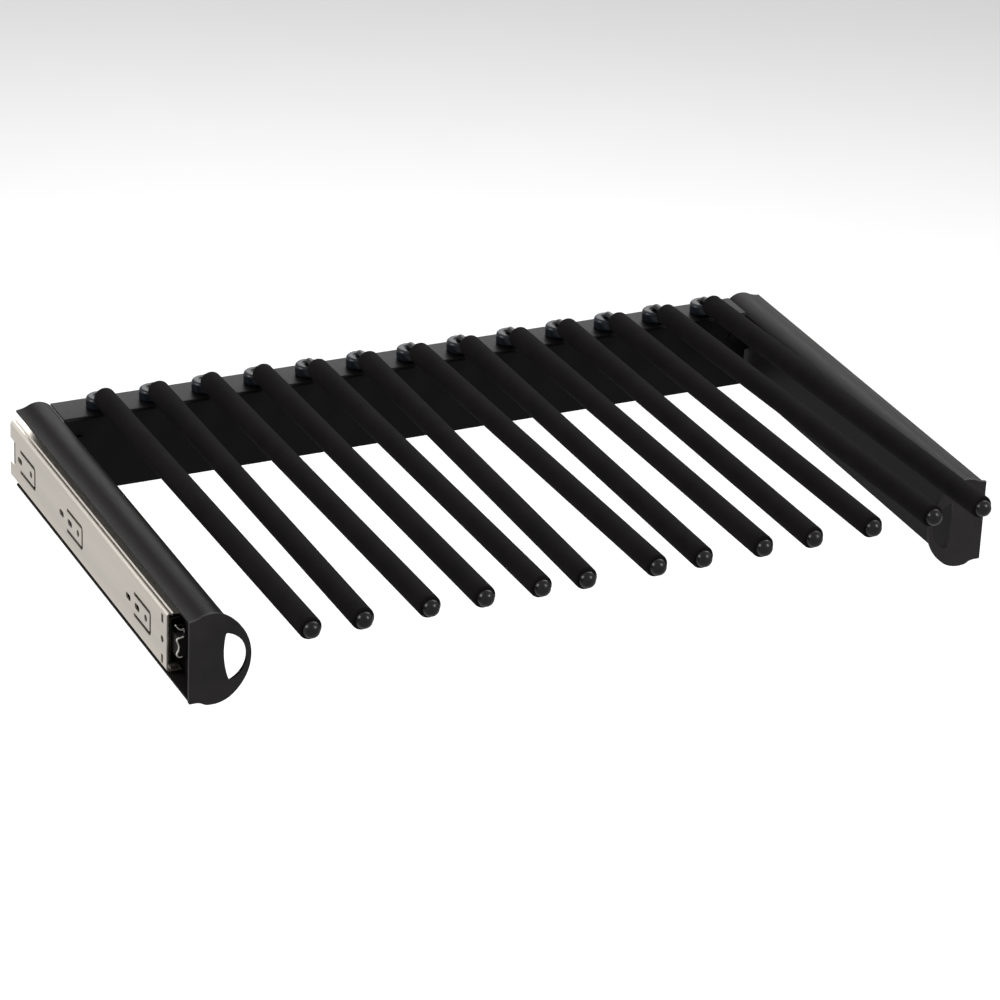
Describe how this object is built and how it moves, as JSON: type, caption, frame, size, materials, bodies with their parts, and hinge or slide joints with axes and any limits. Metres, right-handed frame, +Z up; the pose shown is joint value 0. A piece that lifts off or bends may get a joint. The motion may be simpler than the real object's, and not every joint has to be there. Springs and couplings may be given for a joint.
{
  "type": "pull-out trouser rack",
  "caption": "Pull-out wardrobe rack: swivelling sleeved arms on a folded back plate, between extruded side rails on ball-bearing slides.",
  "frame": {"origin": "mid-width of the wardrobe opening, at the front ends of the cabinet members and at the slides' middle height", "axes": "+X to the right across the opening, +Y to the wardrobe's back, +Z up; the rack pulls out along -Y"},
  "size_m": [0.614, 0.4448, 0.0971],
  "materials": {
    "slide_zinc": "zinc plated, satin",
    "cage_steel": "bright strip and balls",
    "rail_black": "black anodised, satin",
    "cap_black": "moulded, fine matt",
    "plate_black": "black powder coat, satin",
    "screw_black": "blackened",
    "screw_zinc": "zinc plated",
    "bush_black": "moulded, glossy blue-black",
    "wire_black": "black coated wire",
    "sleeve_rubber": "matt black",
    "ball_black": "moulded, high gloss"
  },
  "bodies": {
    "cabinet_members": {"cabinet_member_left": "slide_zinc", "cabinet_member_right": "slide_zinc"},
    "outer_cages": {"outer_cage_left": "cage_steel", "outer_cage_right": "cage_steel"},
    "middle_members": {"middle_member_left": "slide_zinc", "middle_member_right": "slide_zinc"},
    "inner_cages": {"inner_cage_left": "cage_steel", "inner_cage_right": "cage_steel"},
    "rack": {"rack_member_left": "slide_zinc", "rack_member_right": "slide_zinc", "side_rail_left": "rail_black", "side_rail_right": "rail_black", "end_cap_left": "cap_black", "end_cap_right": "cap_black", "back_plate": "plate_black", "corner_brackets": "plate_black", "plate_screws": "screw_black", "slide_screws": "screw_zinc", "slide_buffers": "cap_black", "swivel_bushes": "bush_black", "leg_washers": "screw_zinc"},
    "arm_01": {"arm_wire_01": "wire_black", "arm_sleeve_01": "sleeve_rubber", "arm_ball_01": "ball_black"},
    "arm_02": {"arm_wire_02": "wire_black", "arm_sleeve_02": "sleeve_rubber", "arm_ball_02": "ball_black"},
    "arm_03": {"arm_wire_03": "wire_black", "arm_sleeve_03": "sleeve_rubber", "arm_ball_03": "ball_black"},
    "arm_04": {"arm_wire_04": "wire_black", "arm_sleeve_04": "sleeve_rubber", "arm_ball_04": "ball_black"},
    "arm_05": {"arm_wire_05": "wire_black", "arm_sleeve_05": "sleeve_rubber", "arm_ball_05": "ball_black"},
    "arm_06": {"arm_wire_06": "wire_black", "arm_sleeve_06": "sleeve_rubber", "arm_ball_06": "ball_black"},
    "arm_07": {"arm_wire_07": "wire_black", "arm_sleeve_07": "sleeve_rubber", "arm_ball_07": "ball_black"},
    "arm_08": {"arm_wire_08": "wire_black", "arm_sleeve_08": "sleeve_rubber", "arm_ball_08": "ball_black"},
    "arm_09": {"arm_wire_09": "wire_black", "arm_sleeve_09": "sleeve_rubber", "arm_ball_09": "ball_black"},
    "arm_10": {"arm_wire_10": "wire_black", "arm_sleeve_10": "sleeve_rubber", "arm_ball_10": "ball_black"},
    "arm_11": {"arm_wire_11": "wire_black", "arm_sleeve_11": "sleeve_rubber", "arm_ball_11": "ball_black"},
    "arm_12": {"arm_wire_12": "wire_black", "arm_sleeve_12": "sleeve_rubber", "arm_ball_12": "ball_black"},
    "arm_13": {"arm_wire_13": "wire_black", "arm_sleeve_13": "sleeve_rubber", "arm_ball_13": "ball_black"}
  },
  "joints": [
    {"name": "rack_slide", "type": "slide", "parent": "cabinet_members", "child": "rack", "axis": [0, -1, 0], "range_m": [0, 0.32]},
    {"name": "outer_cage_roll", "type": "slide", "parent": "cabinet_members", "child": "outer_cages", "axis": [0, -1, 0], "range_m": [0, 0.08]},
    {"name": "middle_slide", "type": "slide", "parent": "cabinet_members", "child": "middle_members", "axis": [0, -1, 0], "range_m": [0, 0.16]},
    {"name": "inner_cage_roll", "type": "slide", "parent": "cabinet_members", "child": "inner_cages", "axis": [0, -1, 0], "range_m": [0, 0.24]},
    {"name": "arm_swivel_01", "type": "hinge", "parent": "rack", "child": "arm_01", "pos_m": [-0.2477, 0.2933, 0.0365], "axis": [0, 0, 1], "range_deg": [-1.14, 2.16]},
    {"name": "arm_swivel_02", "type": "hinge", "parent": "rack", "child": "arm_02", "pos_m": [-0.20642, 0.2933, 0.0365], "axis": [0, 0, 1], "range_deg": [-0.62, 2.68]},
    {"name": "arm_swivel_03", "type": "hinge", "parent": "rack", "child": "arm_03", "pos_m": [-0.16513, 0.2933, 0.0365], "axis": [0, 0, 1], "range_deg": [-1.57, 1.73]},
    {"name": "arm_swivel_04", "type": "hinge", "parent": "rack", "child": "arm_04", "pos_m": [-0.12385, 0.2933, 0.0365], "axis": [0, 0, 1], "range_deg": [-1.39, 1.91]},
    {"name": "arm_swivel_05", "type": "hinge", "parent": "rack", "child": "arm_05", "pos_m": [-0.08257, 0.2933, 0.0365], "axis": [0, 0, 1], "range_deg": [-1.45, 1.85]},
    {"name": "arm_swivel_06", "type": "hinge", "parent": "rack", "child": "arm_06", "pos_m": [-0.04128, 0.2933, 0.0365], "axis": [0, 0, 1], "range_deg": [-0.38, 2.92]},
    {"name": "arm_swivel_07", "type": "hinge", "parent": "rack", "child": "arm_07", "pos_m": [0, 0.2933, 0.0365], "axis": [0, 0, 1], "range_deg": [-2.03, 1.27]},
    {"name": "arm_swivel_08", "type": "hinge", "parent": "rack", "child": "arm_08", "pos_m": [0.04128, 0.2933, 0.0365], "axis": [0, 0, 1], "range_deg": [-1.14, 2.16]},
    {"name": "arm_swivel_09", "type": "hinge", "parent": "rack", "child": "arm_09", "pos_m": [0.08257, 0.2933, 0.0365], "axis": [0, 0, 1], "range_deg": [-1.86, 1.44]},
    {"name": "arm_swivel_10", "type": "hinge", "parent": "rack", "child": "arm_10", "pos_m": [0.12385, 0.2933, 0.0365], "axis": [0, 0, 1], "range_deg": [-1.53, 1.77]},
    {"name": "arm_swivel_11", "type": "hinge", "parent": "rack", "child": "arm_11", "pos_m": [0.16513, 0.2933, 0.0365], "axis": [0, 0, 1], "range_deg": [-2.24, 1.06]},
    {"name": "arm_swivel_12", "type": "hinge", "parent": "rack", "child": "arm_12", "pos_m": [0.20642, 0.2933, 0.0365], "axis": [0, 0, 1], "range_deg": [-3.19, 0.11]},
    {"name": "arm_swivel_13", "type": "hinge", "parent": "rack", "child": "arm_13", "pos_m": [0.2477, 0.2933, 0.0365], "axis": [0, 0, 1], "range_deg": [-2.94, 0.36]}
  ],
  "couplings": [
    {"joint": "outer_cage_roll", "follows": "rack_slide", "ratio": 0.25},
    {"joint": "middle_slide", "follows": "rack_slide", "ratio": 0.5},
    {"joint": "inner_cage_roll", "follows": "rack_slide", "ratio": 0.75}
  ]
}
